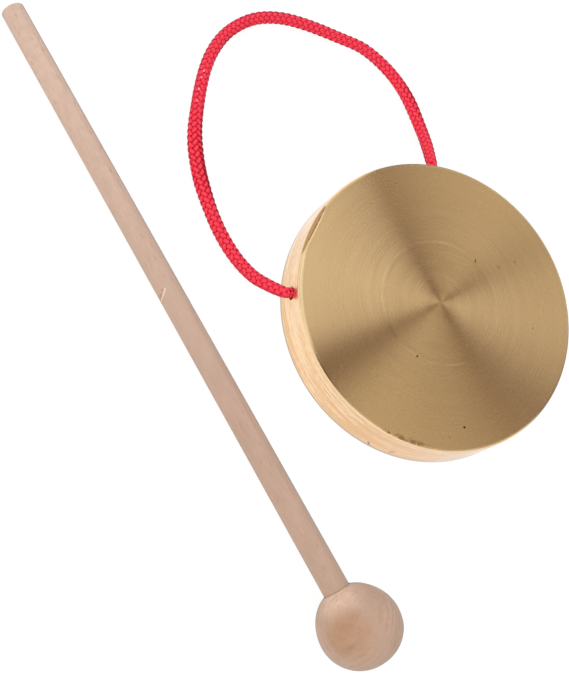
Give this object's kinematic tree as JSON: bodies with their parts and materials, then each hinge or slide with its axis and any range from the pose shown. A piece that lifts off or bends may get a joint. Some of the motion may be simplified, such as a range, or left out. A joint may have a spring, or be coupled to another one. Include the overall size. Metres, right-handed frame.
{
  "type": "hand gong",
  "caption": "Shallow round brass hand gong with a braided carrying cord knotted into its rim, and a wooden ball-headed beater lying beside it.",
  "frame": {"origin": "middle of the struck face, on the gong's axis", "axes": "+Z out of the struck face along the gong's axis, +Y from the gong's axis to the middle of the carrying loop, level between its two holes, +X to the right of that seen from above"},
  "size_m": [0.1661, 0.2301, 0.0256],
  "materials": {
    "brass": "lathe-brushed face with fine rings round the centre, bright polished rim",
    "cord": "red braided cord",
    "ball_wood": "bare turned hardwood, fine growth rings",
    "dowel_wood": "bare pale hardwood, straight fine grain"
  },
  "bodies": {
    "gong": {"gong_shell": "brass", "cord_knot_left": "cord", "cord_knot_right": "cord"},
    "cord": {"hanging_cord": "cord"},
    "beater": {"beater_head": "ball_wood", "beater_handle": "dowel_wood"}
  },
  "joints": [
    {"name": "cord_swing", "type": "hinge", "parent": "gong", "child": "cord", "pos_m": [0, 0.03552, -0.0064], "axis": [1, 0, 0], "range_deg": [0, 115], "deforming": ["hanging_cord"]},
    {"name": "beater_lift", "type": "slide", "parent": "gong", "child": "beater", "axis": [0, 0, 1], "range_m": [0, 0.15]}
  ]
}
